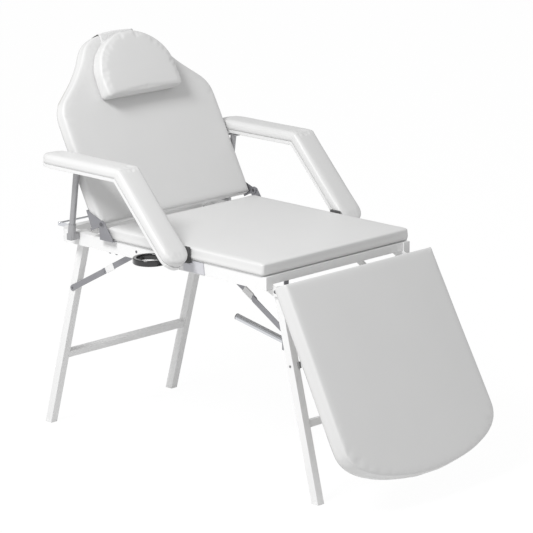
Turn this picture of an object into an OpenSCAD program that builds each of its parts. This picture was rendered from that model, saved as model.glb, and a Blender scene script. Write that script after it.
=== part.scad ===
// Folding massage table: seat, reclining back and swinging leg rest on a steel frame
// whose two pairs of legs fold under the seat. Millimetres, floor at z = 0, front toward -Y.

/* [Frame] */
// Width over the two side rails
frame_w = 584.4; // [560:1:610]
// Length of the bent side and rear tube
frame_l = 845; // [830:1:860]
// Width of the rail tube
rail_w = 25; // [22:1:28]
// Height of the rail tube
rail_h = 37.9; // [34:0.1:40]
// Height of the rail tops above the floor
rail_top = 618.4; // [610:0.1:630]
// Outer radius of the two rear bends
bend_r = 40; // [36:1:50]
// Height of the short front bar
bar_h = 24; // [20:1:26]
// How far the front bar stands back from the rail ends
bar_in = 4; // [4:0.5:8]
// Wall of all steel tubes
wall = 1.5; // [1:0.1:2]

/* [Legs] */
// Side of the square leg tube
leg_t = 24; // [20:1:26]
// Clearance between the upper rear struts and the rails
strut_gap = 0.65; // [0.6:0.05:1]
// Pivot of the front legs and the leg rest, along the rail
front_py = -8.5; // [-10:0.5:-6]
// Pivot of the front legs and the leg rest below the rail tops
front_drop = 43.4; // [42:0.2:46]
// Lean of the front legs
front_lean = 14.2; // [10:0.1:16]
// Pivot of the rear legs in front of the rear end of the frame
rear_in = 71; // [69:1:80]
// Pivot of the rear legs below the rail tops
rear_drop = 18.4; // [17:0.2:20]
// Lean of the rear legs
rear_lean = 15.35; // [12:0.05:17]
// Side of the square cross bar tube
cross_t = 20; // [16:1:22]
// Height of the front cross bar
front_cross_z = 214; // [180:1:240]
// Height of the rear cross bar
rear_cross_z = 221; // [180:1:240]
// Thickness of the plastic feet
foot_t = 3; // [2:0.5:6]

/* [Struts] */
// Width of the flat strut bars
link_w = 17; // [14:1:20]
// Thickness of the flat strut bars
link_t = 2; // [1.5:0.1:2.2]
// Length of a locking sleeve
sleeve_l = 37; // [28:1:42]
// Wall of a locking sleeve
sleeve_t = 1; // [0.8:0.1:1.1]
// Diameter of the strut rivets
rivet_d = 6; // [5:0.5:8]

/* [Seat] */
// How far the seat cushion stands over each rail
seat_over = 7.8; // [4:0.2:8]
// Gap between the rear of the seat and the back hinge
seat_clear = 7.1; // [7.1:0.1:20]
// Front edge of the seat behind the rail ends
seat_y = 5.8; // [5:0.1:7]
// Thickness of the seat with its board
seat_h = 33.3; // [30:0.1:40]
// Height of the spacers under the seat board
seat_lift = 2.9; // [2.6:0.1:3.2]
// Thickness of the wooden boards
board_t = 9; // [8:0.5:10]
// How far a board stands inside its cushion
board_in = 7; // [6:0.5:10]

/* [Back] */
// How far the back cushion stands over each rail
back_over = 12.8; // [8:0.2:13]
// Length of the back from its hinge corner to its top
back_l = 572; // [560:1:580]
// Thickness of the back with its board
back_h = 34; // [32:0.1:34.2]
// Tilt of the back above level, as drawn
back_tilt = 62; // [62:0.1:62]
// Hinge of the back in front of the rear end of the frame
back_in = 207; // [205:0.5:209]
// Hinge of the back above the rail tops
back_up = 45.6; // [45:0.2:46.6]

/* [Leg rest] */
// How far the leg rest stands out beyond each rail at its widest
rest_over = 18.8; // [14:0.2:19.8]
// Length of the leg rest
rest_l = 609; // [590:1:612]
// Thickness of the leg rest with its board
rest_h = 46; // [44:0.5:48]
// Start of the leg rest behind its hinge
rest_y = 5.5; // [5:0.5:5.5]
// Drop of the leg rest below level, as drawn
rest_tilt = 61.2; // [61.2:0.1:61.2]

/* [Prop] */
// Diameter of the sliding prop tube
prop_d = 19; // [16:1:20]
// Distance of the prop tube left of the middle
prop_x = 150; // [140:1:160]
// Rise of the prop tube toward its guide, as drawn
prop_rise = 10.6; // [10:0.2:11]
// Height of the opening of the prop guide
guide_h = 42; // [42:1:44]

/* [Pillow] */
// Width of the pillow
pillow_w = 296; // [280:1:300]
// Length of the pillow up the back
pillow_l = 190; // [180:1:196]
// Thickness of the pillow
pillow_h = 46; // [40:1:50]
// Width of the elastic strap of the pillow
strap_w = 136; // [120:1:140]

/* [Arms] */
// Width of the tab between the seat and an arm rest
tab_w = 7.5; // [7:0.1:9]
// Clearance between the seat and the tabs of the arm rests
tab_gap = 2; // [2:0.2:4]
// Width of an arm rest cushion
arm_w = 90; // [84:1:92]
// Thickness of an arm rest cushion
arm_h = 27; // [25:1:30]
// Thickness of the base under an arm rest cushion
arm_base_h = 12; // [10:0.5:13]
// Height of the joint line of an arm rest above the rail tops
arm_over_h = 214.4; // [206:0.2:222]
// Length of the level rear part of an arm rest
arm_flat_l = 323; // [312:1:326]
// Length of the front part of an arm rest beyond its tab
arm_end_l = 9.8; // [8:0.1:16]
// Rear end of an arm rest behind the back hinge
arm_rear_l = 172; // [165:1:175]
// Fall of the front half of an arm rest
arm_fall = 47; // [46:0.5:48]
// Diameter of an arm post
post_d = 18; // [16:0.5:18]
// Foot of an arm post behind the back hinge
post_rear_l = 119.8; // [118:0.2:122]
// Foot of an arm post out from the rail
post_out_w = 24.6; // [24.6:0.2:26]
// Height of the socket of an arm post above the rail tops
post_up_h = 28.6; // [24:0.2:30]
// How far an arm post leans forward over its height
post_reach_l = 26.7; // [20:0.1:30]

/* [Ring and roll] */
// Outer diameter of the ring holder
ring_d = 97; // [90:1:97]
// Inner diameter of the ring holder
ring_in_d = 76; // [70:1:80]
// Clearance between the ring holder and the left arm's tab
ring_gap = 36.2; // [32:0.2:40]
// Height of the ring holder
ring_h = 17; // [14:1:18]
// Diameter of the paper roll rod
roll_d = 6; // [5:0.5:7]

/* [Hidden] */
$fn = 48;
// Running clearance on a radius, gap between moving faces, cut overlap
run = 0.05 * link_t / 2;
gap = 0.3 * link_t / 2;
cut = link_t / 2;
far = 2 * frame_l;
bolt_d = rivet_d;

rail_z = rail_top - rail_h;
xo = frame_w / 2;
xi = xo - rail_w;
lo = xi - strut_gap - 2 * link_t - sleeve_t - 3 * gap;
li = lo - leg_t;
front_pz = rail_top - front_drop;
rear_py = frame_l - rear_in;
rear_pz = rail_top - rear_drop;
back_py = frame_l - back_in;
back_pz = rail_top + back_up;
front_p = [front_py, front_pz];
rear_p = [rear_py, rear_pz];
back_p = [back_py, back_pz];
front_dir = [-sin(front_lean), -cos(front_lean)];
rear_dir = [sin(rear_lean), -cos(rear_lean)];
seat_w = frame_w + 2 * seat_over;
seat_l = back_py - seat_clear - seat_y;
back_w = frame_w + 2 * back_over;
rest_w_max = frame_w + 2 * rest_over;
arm_z = rail_top + arm_over_h;
seat_z = rail_top + seat_lift;
seat_top = seat_z + seat_h;

// Middle of the whole object along the rails, used as the origin
rest_n = seat_top - front_pz;
rest_end_y = front_py + (rest_y - rest_l) * cos(rest_tilt) - (rest_n - rest_h * 0.208) * sin(rest_tilt);
foot_end_y = rear_py + rear_pz * tan(rear_lean) + leg_t / 2 / cos(rear_lean);
mid_y = (rest_end_y + foot_end_y) / 2;

// Strut points: on the leg, at the joint and on the rail
rear_s = rear_p + 0.28433 * rear_pz * rear_dir;
rear_u = [rear_py - 0.43499 * rear_pz, rear_pz + 0.05263 * rail_h];
rear_j = [rear_py - 0.15833 * rear_pz, rear_pz - 0.14833 * rear_pz];
front_s = front_p + 0.24 * front_pz * front_dir;
front_u = [front_py + 0.40609 * front_pz, front_pz + 0.60526 * rail_h];
front_j = [front_py + 0.19391 * front_pz, front_pz - 0.083478 * front_pz];

// Strut planes measured from the middle of the table outward
rear_low_x = lo + gap;
rear_up_x = rear_low_x + link_t + gap + sleeve_t + gap;
front_low_x = li - gap - link_t;
front_up_x = front_low_x - gap - sleeve_t - gap - link_t;

// Backrest outline: share of the length, share of the half width
back_shares = [[0.0175, 1], [0.2, 1], [0.4, 1], [0.594, 1], [0.633, 0.977], [0.673, 0.934],
    [0.71, 0.852], [0.747, 0.764], [0.786, 0.68], [0.824, 0.61], [0.862, 0.54],
    [0.9, 0.487], [0.94, 0.42], [0.965, 0.345], [0.988, 0.235], [1, 0.1]];
// Leg rest outline: share of the length, share of the greatest half width
rest_shares = [[0, 0.971], [0.2, 0.976], [0.4, 0.981], [0.6, 0.99], [0.783, 1], [0.821, 0.987],
    [0.856, 0.952], [0.888, 0.887], [0.916, 0.797], [0.941, 0.675], [0.964, 0.53],
    [0.98, 0.354], [0.993, 0.145]];
// Pillow outline: share of the length, share of the half width
pillow_shares = [[0, 0.93], [0.02, 0.98], [0.06, 1], [0.25, 1], [0.42, 0.985], [0.56, 0.93],
    [0.68, 0.84], [0.79, 0.71], [0.88, 0.55], [0.95, 0.36], [0.99, 0.15]];
// Cushion edge: inset as a share of the thickness, height as a share of the thickness
edge_shares = [[0.1, 0], [0.02, 0.12], [0, 0.4], [0.01, 0.7], [0.09, 0.89], [0.22, 0.965],
    [0.6, 0.985], [1.8, 0.995]];
pillow_edge_shares = [[0.3, 0], [0.06, 0.12], [0, 0.3], [0.04, 0.52], [0.16, 0.72], [0.36, 0.87],
    [0.62, 0.95], [1, 0.99]];

function outline(shares, l, w) = concat(
    [for (s = shares) [w / 2 * s[1], l * s[0]]],
    [for (i = [len(shares) - 1:-1:0]) [-w / 2 * shares[i][1], l * shares[i][0]]]);
function square_outline(w, l, r) = [for (c = [[1, -1, -90], [1, 1, 0], [-1, 1, 90], [-1, -1, 180]])
    for (k = [0:4]) [c[0] * (w / 2 - r) + r * cos(c[2] + 22.5 * k),
        l / 2 + c[1] * (l / 2 - r) + r * sin(c[2] + 22.5 * k)]];

// A cushion of stacked rings that follow one outline, closed by a low crown
module cushion(pts, shares, h) {
    n = len(pts);
    m = len(shares);
    xs = [for (p = pts) p[0]];
    ys = [for (p = pts) p[1]];
    hw = (max(xs) - min(xs)) / 2;
    hl = (max(ys) - min(ys)) / 2;
    cy = (max(ys) + min(ys)) / 2;
    ring = [for (s = shares) for (p = pts)
        [p[0] * (1 - h * s[0] / hw), cy + (p[1] - cy) * (1 - h * s[0] / hl), h * s[1]]];
    sides = [for (k = [0:m - 2]) for (i = [0:n - 1]) let (j = (i + 1) % n)
        each [[k * n + i, k * n + n + i, k * n + n + j], [k * n + i, k * n + n + j, k * n + j]]];
    caps = [for (i = [0:n - 1]) let (j = (i + 1) % n)
        each [[n * m, i, j], [n * m + 1, (m - 1) * n + j, (m - 1) * n + i]]];
    polyhedron(concat(ring, [[0, cy, 0], [0, cy, h]]), concat(sides, caps), convexity = 4);
}

// The opening in a cushion's underside that takes its board
module board_pocket(pts, inset, h) {
    xs = [for (p = pts) p[0]];
    ys = [for (p = pts) p[1]];
    hw = (max(xs) - min(xs)) / 2;
    hl = (max(ys) - min(ys)) / 2;
    cy = (max(ys) + min(ys)) / 2;
    translate([0, 0, -cut]) linear_extrude(h + cut)
        polygon([for (p = pts) [p[0] * (1 - inset / hw), cy + (p[1] - cy) * (1 - inset / hl)]]);
}

module board(pts, inset, h) {
    xs = [for (p = pts) p[0]];
    ys = [for (p = pts) p[1]];
    hw = (max(xs) - min(xs)) / 2;
    hl = (max(ys) - min(ys)) / 2;
    cy = (max(ys) + min(ys)) / 2;
    linear_extrude(h)
        polygon([for (p = pts) [p[0] * (1 - inset / hw), cy + (p[1] - cy) * (1 - inset / hl)]]);
}

// Rod along X from x over length l, centred on p in the side view
module x_rod(x, l, p, d) {
    translate([x, p[0], p[1]]) rotate([0, 90, 0]) cylinder(h = l, d = d);
}

// Block along the line from a to b in the side view, h across it and t wide from x
module x_bar(x, t, a, b, h) {
    translate([x, a[0], a[1]]) rotate([atan2(b[1] - a[1], b[0] - a[0]), 0, 0])
        translate([0, 0, -h / 2]) cube([t, norm(b - a), h]);
}

// Plate of thickness t standing in the side view
module x_plate(x, t, pts) {
    translate([x, 0, 0]) rotate([90, 0, 90]) linear_extrude(t) polygon(pts);
}

module link(x, a, b) {
    difference() {
        union() {
            x_rod(x, link_t, a, link_w);
            x_rod(x, link_t, b, link_w);
            x_bar(x, link_t, a, b, link_w);
        }
        x_rod(x - cut, link_t + 2 * cut, a, rivet_d + 2 * run);
        x_rod(x - cut, link_t + 2 * cut, b, rivet_d + 2 * run);
    }
}

module side(s) {
    if (s < 0) mirror([1, 0, 0]) children();
    else children();
}

module in_back() {
    translate([0, back_py, back_pz]) rotate([back_tilt, 0, 0]) children();
}

module in_rest() {
    translate([0, front_py, front_pz]) rotate([rest_tilt, 0, 0]) children();
}

module place() {
    translate([0, -mid_y, 0]) children();
}

// Frame

module frame_flat(inset) {
    r = bend_r - inset;
    difference() {
        union() {
            translate([-xo + inset, 0]) square([frame_w - 2 * inset, frame_l - bend_r]);
            translate([-xo + bend_r, 0]) square([frame_w - 2 * bend_r, frame_l - inset]);
            for (s = [-1, 1]) translate([s * (xo - bend_r), frame_l - bend_r]) circle(r = r);
        }
        ri = bend_r - rail_w + inset;
        translate([-xi - inset, -cut]) square([2 * (xi + inset), frame_l - bend_r + cut]);
        translate([-xo + bend_r, -cut]) square([frame_w - 2 * bend_r, frame_l - rail_w + inset + cut]);
        for (s = [-1, 1]) translate([s * (xo - bend_r), frame_l - bend_r]) circle(r = ri);
    }
}

hinge_foot_l = 2.52 * rail_w;
hinge_wing_l = 1.6 * rail_w;
hinge_plate_l = 2.1 * rail_w;
hinge_foot_y = back_py - 1.84 * rail_w;
hinge_bolt_ys = [hinge_foot_y + 0.254 * hinge_foot_l, hinge_foot_y + 0.683 * hinge_foot_l];
hinge_bolt_x = xo - rail_w / 2;

module frame_tube() {
    color("white") place() difference() {
        translate([0, 0, rail_z]) linear_extrude(rail_h) frame_flat(0);
        translate([0, 0, rail_z + wall]) linear_extrude(rail_h - 2 * wall) frame_flat(wall);
        for (s = [-1, 1]) side(s) {
            x_rod(xi - cut, rail_w / 2, rear_p, bolt_d + 2 * run);
            x_rod(xi - cut, rail_w + 2 * cut, rear_u, bolt_d + 2 * run);
            x_rod(xi - cut, rail_w / 2, front_u, bolt_d + 2 * run);
            for (y = hinge_bolt_ys) translate([hinge_bolt_x, y, rail_z - cut])
                cylinder(h = rail_h + 2 * cut, d = bolt_d + 2 * run);
        }
    }
}

module rail_plugs() {
    color("white") place() for (s = [-1, 1]) side(s)
        translate([xi + wall + run, 0, rail_z + wall + run])
            cube([rail_w - 2 * wall - 2 * run, rail_h / 4, rail_h - 2 * wall - 2 * run]);
}

module front_bar() {
    color("white") place() difference() {
        translate([-xi, bar_in, rail_top - bar_h]) cube([2 * xi, rail_w, bar_h]);
        translate([-xi - cut, bar_in + wall, rail_top - bar_h + wall])
            cube([2 * xi + 2 * cut, rail_w - 2 * wall, bar_h - 2 * wall]);
    }
}

// Plate on the inner side of a rail that carries the shared front pivot
bracket_t = link_t * 1.3;
module front_brackets() {
    color("white") place() for (s = [-1, 1]) side(s) difference() {
        x_plate(xi - bracket_t, bracket_t, [[front_py - link_w * 0.75, front_pz],
            [front_py - link_w * 0.4, front_pz - link_w * 0.75],
            [front_py + link_w * 0.5, front_pz - link_w * 0.75],
            [front_py + 4 * link_w, rail_z + 0.25 * rail_h], [front_py + 4 * link_w, rail_top - bar_h - gap],
            [front_py + link_w * 0.6, rail_top - bar_h - gap],
            [front_py - link_w * 0.4, front_pz + link_w * 0.75]]);
        x_rod(xi - bracket_t - cut, bracket_t + 2 * cut, front_p, bolt_d + 2 * run);
    }
}

module cap_bolt(x, l, p, head, head_l) {
    x_rod(x, l, p, bolt_d);
    if (head_l > 0) x_rod(x + l, head_l, p, head);
    else x_rod(x + head_l, -head_l, p, head);
}

// Bolts of the frame: front pivots, rear pivots and the upper strut ends
blind_x = xo - wall - 2 * cut;
module frame_bolts() {
    color("silver") place() for (s = [-1, 1]) side(s) {
        x_rod(li - 2 * cut, xi + link_t / 2 - li + 2 * cut, front_p, bolt_d);
        x_rod(li - 4 * cut, 2 * cut, front_p, 2 * bolt_d);
        x_rod(xi, link_t / 2, front_p, 1.5 * bolt_d);
        x_rod(li - 2 * cut, blind_x - li + 2 * cut, rear_p, bolt_d);
        x_rod(li - 4 * cut, 2 * cut, rear_p, 2 * bolt_d);
        x_rod(rear_up_x - 2 * cut, xo - rear_up_x + 2 * cut, rear_u, bolt_d);
        x_rod(rear_up_x - 2 * cut - gap, 2 * cut, rear_u, 2 * bolt_d);
        x_rod(xo, cut, rear_u, 1.3 * bolt_d);
        x_rod(front_up_x - 2 * cut, blind_x - front_up_x + 2 * cut, front_u, bolt_d);
        x_rod(front_up_x - 2 * cut - gap, 2 * cut, front_u, 2 * bolt_d);
    }
}

// Sleeves that hold the legs and front struts off the rails
module frame_spacers() {
    color("dimgray") place() for (s = [-1, 1]) side(s) {
        difference() {
            x_rod(lo + gap, xi - lo - gap, rear_p, 2.4 * bolt_d);
            x_rod(lo, xi - lo + cut, rear_p, bolt_d + 2 * run);
        }
        difference() {
            x_rod(front_up_x + link_t + gap, xi - front_up_x - link_t - gap, front_u, 1.7 * bolt_d);
            x_rod(front_up_x, xi - front_up_x + cut, front_u, bolt_d + 2 * run);
        }
    }
}

module seat_spacers() {
    color("dimgray") place() for (s = [-1, 1]) for (y = [0.12, 0.5, 0.85])
        translate([s * (xo - rail_w / 2), seat_y + y * seat_l, rail_top])
            cylinder(h = seat_lift, d = rail_w * 0.6);
}

seat_pts = square_outline(seat_w, seat_l, 0.02 * seat_w);
back_pts = outline(back_shares, back_l, back_w);
rest_pts = outline(rest_shares, rest_l, rest_w_max);
pillow_pts = outline(pillow_shares, pillow_l, pillow_w);

module seat_board() {
    color("burlywood") place() translate([0, seat_y, seat_z]) board(seat_pts, board_in, board_t);
}

module seat_pad() {
    color("whitesmoke") place() translate([0, seat_y, seat_z]) difference() {
        cushion(seat_pts, edge_shares, seat_h);
        board_pocket(seat_pts, board_in - gap, board_t + gap);
    }
}

// Back

back_n0 = seat_top + 0.045045 * seat_h - back_pz - back_h;
back_y1 = -0.26 * rail_w;

module back_board() {
    color("burlywood") place() in_back() translate([0, back_y1, back_n0]) board(back_pts, board_in, board_t);
}

module back_pad() {
    color("whitesmoke") place() in_back() translate([0, back_y1, back_n0]) difference() {
        cushion(back_pts, edge_shares, back_h);
        board_pocket(back_pts, board_in - gap, board_t + gap);
    }
}

// Hinge of the back: a foot and plate on the frame, a gusset under the back board
hinge_in = back_w / 2 + 2 * gap;
hinge_t = link_t * 1.2;
plate_x = hinge_in + hinge_t + gap;
eye_r = link_w * 0.62;
foot_h = seat_lift - 2 * gap;
gusset_l = 2.3 * rail_w;
gusset_w = 1.36 * rail_w;
gusset_h = hinge_t + 0.13 * rail_w;

module back_hinge_feet() {
    color("darkgray") place() for (s = [-1, 1]) side(s) {
        difference() {
            translate([xi + cut, hinge_foot_y, rail_top]) cube([rail_w - cut, hinge_foot_l, foot_h]);
            for (y = hinge_bolt_ys) translate([hinge_bolt_x, y, rail_top - cut])
                cylinder(h = foot_h + 2 * cut, d = bolt_d + 2 * run);
        }
        translate([xo, hinge_foot_y, rail_top]) cube([plate_x + hinge_t - xo, hinge_wing_l, foot_h]);
        difference() {
            union() {
                x_plate(plate_x, hinge_t, [[hinge_foot_y, rail_top], [hinge_foot_y + hinge_plate_l, rail_top],
                    [back_py + eye_r, back_pz], [back_py, back_pz + eye_r],
                    [back_py - 0.48 * rail_w, back_pz + 0.8 * eye_r], [hinge_foot_y, rail_top + 0.25 * rail_w]]);
                x_rod(plate_x, hinge_t, back_p, 2 * eye_r);
            }
            x_rod(plate_x - cut, hinge_t + 2 * cut, back_p, bolt_d + 2 * run);
        }
    }
}

module back_hinge_arms() {
    color("darkgray") place() for (s = [-1, 1]) side(s) in_back() difference() {
        union() {
            x_rod(hinge_in, hinge_t, [0, 0], 2 * eye_r);
            x_plate(hinge_in, hinge_t, [[0, eye_r], [-eye_r, 0], [gusset_l * 0.07, back_n0 - gusset_h],
                [gusset_l, back_n0 - hinge_t], [gusset_l, back_n0]]);
            translate([hinge_in - gusset_l, gusset_l - gusset_w, back_n0 - hinge_t])
                cube([gusset_l + hinge_t, gusset_w, hinge_t]);
        }
        x_rod(hinge_in - cut, hinge_t + 2 * cut, [0, 0], bolt_d + 2 * run);
    }
}

// Catch bars on the outer side of the hinge plates
catch_end = back_p + [1.75 * rail_w, -0.9 * rail_w];
module back_catches() {
    color("silver") place() for (s = [-1, 1]) side(s) difference() {
        union() {
            x_rod(plate_x + hinge_t, link_t / 2, back_p, 2 * eye_r);
            x_bar(plate_x + hinge_t, link_t / 2, back_p, catch_end, link_w * 0.45);
        }
        x_rod(plate_x + hinge_t - cut, link_t / 2 + 2 * cut, back_p, 2 * bolt_d + 2 * gap);
    }
}

// Pins of the back hinge and the bolts that hold its feet to the rails
module back_hinge_bolts() {
    color("silver") place() for (s = [-1, 1]) side(s) {
        x_rod(hinge_in - cut, 2 * hinge_t + gap + 2 * cut, back_p, bolt_d);
        x_rod(hinge_in - 1.5 * cut, cut, back_p, 1.5 * bolt_d);
        x_rod(plate_x + hinge_t, 2 * cut, back_p, 2 * bolt_d);
        for (y = hinge_bolt_ys) {
            translate([hinge_bolt_x, y, rail_z - 6 * cut])
                cylinder(h = rail_h + foot_h + 6 * cut, d = bolt_d);
            translate([hinge_bolt_x, y, rail_z - 4 * cut]) cylinder(h = 4 * cut, d = 1.8 * bolt_d, $fn = 6);
        }
    }
}

// Pillow, drawn lying along the back
pillow_y = 0.62937 * back_l + back_y1;
face_n = back_n0 + back_h;
strap_t = link_t / 2;

module pillow() {
    color("whitesmoke") place() in_back() translate([0, pillow_y, face_n + strap_t + 2 * gap])
        cushion(pillow_pts, pillow_edge_shares, pillow_h);
}

module pillow_strap() {
    color("white") place() in_back() translate([0, back_y1, back_n0]) intersection() {
        difference() {
            translate([0, 0, -gap - strap_t])
                board(back_pts, -gap - strap_t, back_h + 2 * gap + 2 * strap_t);
            translate([0, 0, -gap]) board(back_pts, -gap, back_h + 2 * gap);
        }
        translate([-strap_w / 2, back_l - 0.55147 * strap_w, -strap_w]) cube([strap_w, strap_w, 2 * strap_w]);
    }
}

// Leg rest

rest_z0 = rest_n - rest_h;

module rest_board() {
    color("burlywood") place() in_rest() translate([0, rest_y, rest_z0]) rotate([0, 0, 180])
        board(rest_pts, board_in, board_t);
}

module rest_pad() {
    color("whitesmoke") place() in_rest() translate([0, rest_y, rest_z0]) rotate([0, 0, 180]) difference() {
        cushion(rest_pts, edge_shares, rest_h);
        board_pocket(rest_pts, board_in - gap, board_t + gap);
    }
}

// Arm from the shared pivot to the underside of the leg rest board
arm_x = lo + gap;
module rest_arms() {
    color("white") place() for (s = [-1, 1]) side(s) in_rest() difference() {
        union() {
            x_rod(arm_x, link_t, [0, 0], link_w * 1.3);
            x_plate(arm_x, link_t, [[-link_w * 0.1, link_w * 0.65], [-link_w * 0.5, -link_w * 0.42],
                [-link_w * 4.2, rest_z0 - link_t - link_w * 0.4], [-link_w * 4.6, rest_z0],
                [-link_w * 1.2, rest_z0]]);
            translate([arm_x + link_t - link_w * 1.6, -link_w * 4.6, rest_z0 - link_t])
                cube([link_w * 1.6, link_w * 3.4, link_t]);
        }
        x_rod(arm_x - cut, link_t + 2 * cut, [0, 0], bolt_d + 2 * run);
    }
}

// Prop

prop_back = rest_z0 - prop_d * 1.05;
prop_at = -0.41544 * rest_l;
prop_p = front_p + [cos(rest_tilt) * prop_at - sin(rest_tilt) * prop_back,
    sin(rest_tilt) * prop_at + cos(rest_tilt) * prop_back];
prop_l = 0.65846 * rest_l;
guide_y = front_py + 2.54 * rail_w;
guide_z = prop_p[1] + (guide_y - prop_p[0]) * tan(prop_rise) + guide_h / 10;

module prop_tube() {
    color("gainsboro") place() translate([-prop_x, prop_p[0], prop_p[1]]) rotate([prop_rise, 0, 0])
    difference() {
        union() {
            translate([0, 0, 0]) rotate([-90, 0, 0]) cylinder(h = prop_l, d = prop_d);
            translate([-prop_d * 0.5, 0, 0]) rotate([0, 90, 0]) cylinder(h = prop_d, d = prop_d);
        }
        translate([0, prop_d, 0]) rotate([-90, 0, 0]) cylinder(h = prop_l, d = prop_d - 2 * wall);
        translate([-prop_d, 0, 0]) rotate([0, 90, 0]) cylinder(h = 2 * prop_d, d = bolt_d + 2 * run);
    }
}

module prop_plug() {
    color("black") place() translate([-prop_x, prop_p[0], prop_p[1]]) rotate([prop_rise, 0, 0])
        translate([0, prop_l - prop_d * 0.6, 0]) rotate([-90, 0, 0]) {
            cylinder(h = prop_d * 0.6, d = prop_d - 2 * wall - 2 * run);
            translate([0, 0, prop_d * 0.6]) cylinder(h = 2 * cut, d = prop_d);
        }
}

// Bracket under the leg rest board that holds the front end of the prop
module prop_bracket() {
    hw = prop_d / 2 + gap;
    color("silver") place() in_rest() translate([-prop_x, prop_at, rest_z0]) {
        translate([-prop_d, -prop_d * 1.4, -link_t]) cube([2 * prop_d, prop_d * 2.8, link_t]);
        for (x = [-hw - link_t, hw]) difference() {
            union() {
                translate([x, -prop_d * 0.55, prop_back - rest_z0])
                    cube([link_t, prop_d * 1.1, rest_z0 - prop_back - link_t]);
                x_rod(x, link_t, [0, prop_back - rest_z0], prop_d * 1.1);
            }
            x_rod(x - cut, link_t + 2 * cut, [0, prop_back - rest_z0], bolt_d + 2 * run);
        }
        x_rod(-hw - link_t - cut, 2 * (hw + link_t + cut), [0, prop_back - rest_z0], bolt_d);
        x_rod(hw + link_t, 2 * cut, [0, prop_back - rest_z0], 1.8 * bolt_d);
        x_rod(-hw - link_t - 2 * cut, 2 * cut, [0, prop_back - rest_z0], 1.8 * bolt_d);
    }
}

// Strap that hangs from the front bar and guides the prop through a tall loop
module prop_guide() {
    w = prop_d + 2 * gap + 4 * cut;
    t = link_t * 1.5;
    top = rail_top - bar_h;
    y1 = bar_in + rail_w;
    color("silver") place() translate([-prop_x, 0, 0]) {
        difference() {
            translate([-w / 2 - t, guide_y - link_w / 2, guide_z - guide_h / 2 - t])
                cube([w + 2 * t, link_w, guide_h + 2 * t]);
            translate([-w / 2, guide_y - link_w, guide_z - guide_h / 2]) cube([w, 2 * link_w, guide_h]);
        }
        x_bar(-link_w / 2, link_w, [bar_in + 8 * cut, top - t / 2], [guide_y + link_w / 2, top - t / 2], t);
        translate([-link_w / 2, guide_y + link_w / 2 - t, guide_z + guide_h / 2 + t / 2])
            cube([link_w, t, top - guide_z - guide_h / 2 - t / 2]);
    }
}

// Legs

module leg(p, dir, lean, s, s_pt, s_l) {
    color("white") place() side(s) difference() {
        x_bar(li, leg_t, p - dir * leg_t * 0.5, p + dir * (p[1] / cos(lean) + leg_t), leg_t);
        x_bar(li + wall, leg_t - 2 * wall, p + dir * leg_t * 0.75,
            p + dir * (p[1] / cos(lean) + 2 * leg_t), leg_t - 2 * wall);
        translate([0, -far, foot_t - far]) cube([far, 2 * far, far]);
        x_rod(li - cut, leg_t + 2 * cut, p, bolt_d + 2 * run);
        x_rod(li - cut, s_l, s_pt, bolt_d + 2 * run);
    }
}

module feet(p, dir, lean) {
    e = dir * (p[1] / cos(lean));
    color("dimgray") place() for (s = [-1, 1]) side(s) {
        intersection() {
            x_bar(li, leg_t, p + e - dir * leg_t, p + e + dir * leg_t, leg_t);
            translate([0, -far, 0]) cube([far, 2 * far, foot_t]);
        }
        difference() {
            x_bar(li + wall + run, leg_t - 2 * wall - 2 * run, p + e - dir * leg_t, p + e + dir * leg_t,
                leg_t - 2 * wall - 2 * run);
            translate([0, -far, foot_t - far]) cube([far, 2 * far, far]);
        }
    }
}

module cross_bar(p, dir, lean, z) {
    c = p + dir * ((p[1] - z) / cos(lean));
    color("white") place() difference() {
        x_bar(-li, 2 * li, c - dir * cross_t / 2, c + dir * cross_t / 2, cross_t);
        x_bar(-li - cut, 2 * li + 2 * cut, c - dir * (cross_t / 2 - wall), c + dir * (cross_t / 2 - wall),
            cross_t - 2 * wall);
    }
}

module front_feet() feet(front_p, front_dir, front_lean);
module rear_feet() feet(rear_p, rear_dir, rear_lean);
module front_leg(s) leg(front_p, front_dir, front_lean, s, front_s, leg_t / 2);
module rear_leg(s) leg(rear_p, rear_dir, rear_lean, s, rear_s, leg_t + 2 * cut);

// Bolts that hold the lower struts to the legs
module front_leg_bolts() {
    color("silver") place() for (s = [-1, 1]) side(s) {
        x_rod(front_low_x - cut, li + leg_t / 3 - front_low_x + cut, front_s, bolt_d);
        x_rod(front_low_x - 2 * cut, 2 * cut - gap, front_s, 1.8 * bolt_d);
    }
}

module rear_leg_bolts() {
    color("silver") place() for (s = [-1, 1]) side(s) {
        x_rod(li, rear_low_x + link_t + cut / 2 - li, rear_s, bolt_d);
        x_rod(li - 2 * cut, 2 * cut, rear_s, 1.8 * bolt_d);
    }
}

// Screw head and rubber buffer on each front leg
knob_p = front_p + 0.36174 * front_pz * front_dir;
module leg_buffers() {
    n = [front_dir[1], -front_dir[0]];
    color("black") place() for (s = [-1, 1]) side(s) {
        x_rod(lo, cut, knob_p, 1.2 * bolt_d);
        x_bar(li, leg_t / 3, knob_p + n * leg_t / 2, knob_p + n * leg_t * 0.78, leg_t * 0.75);
    }
}

// Struts

module rear_upper(s) {
    color("gray") place() side(s) {
        link(rear_up_x, rear_u, rear_j);
        x_rod(rear_up_x, link_t, rear_j, rivet_d);
        x_rod(rear_up_x + link_t, cut, rear_j, 1.8 * rivet_d);
    }
}

module rear_lower(s) {
    color("gray") place() side(s) {
        link(rear_low_x, rear_s, rear_j);
        x_rod(rear_low_x, link_t, rear_j, rivet_d);
    }
}

module front_upper(s) {
    color("gray") place() side(s) {
        link(front_up_x, front_u, front_j);
        x_rod(front_up_x, link_t, front_j, rivet_d);
        x_rod(front_up_x - cut, cut, front_j, 1.8 * rivet_d);
    }
}

module front_lower(s) {
    color("gray") place() side(s) {
        link(front_low_x, front_s, front_j);
        x_rod(front_low_x, link_t, front_j, rivet_d);
    }
}

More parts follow.
